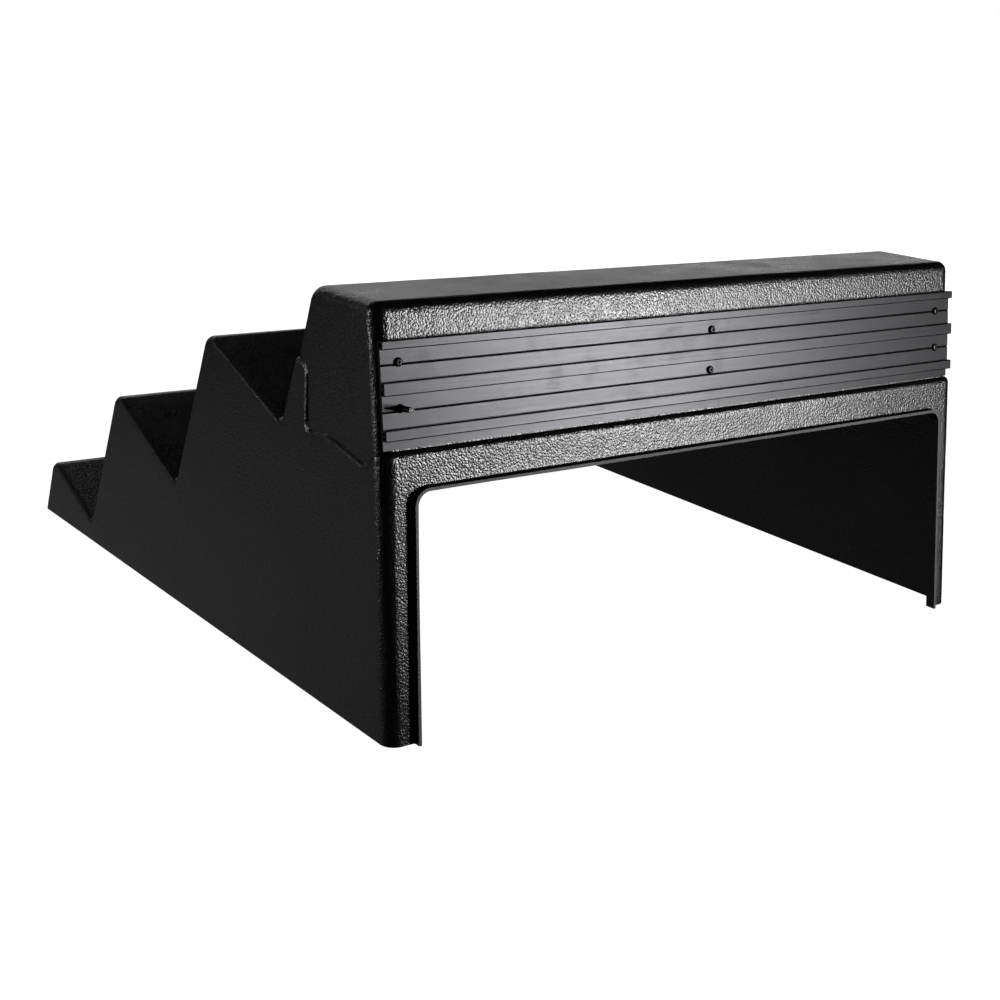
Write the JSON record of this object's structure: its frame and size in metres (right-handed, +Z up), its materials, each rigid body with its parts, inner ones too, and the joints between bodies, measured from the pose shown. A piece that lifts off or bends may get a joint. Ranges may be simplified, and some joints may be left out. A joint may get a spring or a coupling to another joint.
{
  "type": "mounting block",
  "caption": "Hollow stair-shaped step block with backward-dipping treads, open underneath and through its rear, and ridged metal rails screwed across the upper rear face.",
  "frame": {"origin": "centre of the bounding box in plan, on the plane of the feet", "axes": "+Z up from the feet, +Y to the rear face with the rails, -Y to the first step, X across the width"},
  "size_m": [0.7328, 0.7725, 0.363],
  "materials": {
    "shell_plastic": "black, fine pebble grain, satin",
    "rail_aluminium": "black anodised, fine drawn lines",
    "screw_steel": "black oxide, satin",
    "washer_steel": "zinc plated",
    "nut_steel": "zinc plated"
  },
  "bodies": {
    "root": {"step_shell": "shell_plastic", "upper_rail": "rail_aluminium", "lower_rail": "rail_aluminium", "rail_screw_1": "screw_steel", "rail_screw_2": "screw_steel", "rail_screw_3": "screw_steel", "rail_screw_4": "screw_steel", "rail_screw_5": "screw_steel", "rail_screw_6": "screw_steel", "washer_1": "washer_steel", "washer_2": "washer_steel", "washer_3": "washer_steel", "washer_4": "washer_steel", "washer_5": "washer_steel", "washer_6": "washer_steel", "lock_nut_1": "nut_steel", "lock_nut_2": "nut_steel", "lock_nut_3": "nut_steel", "lock_nut_4": "nut_steel", "lock_nut_5": "nut_steel", "lock_nut_6": "nut_steel"}
  },
  "joints": []
}
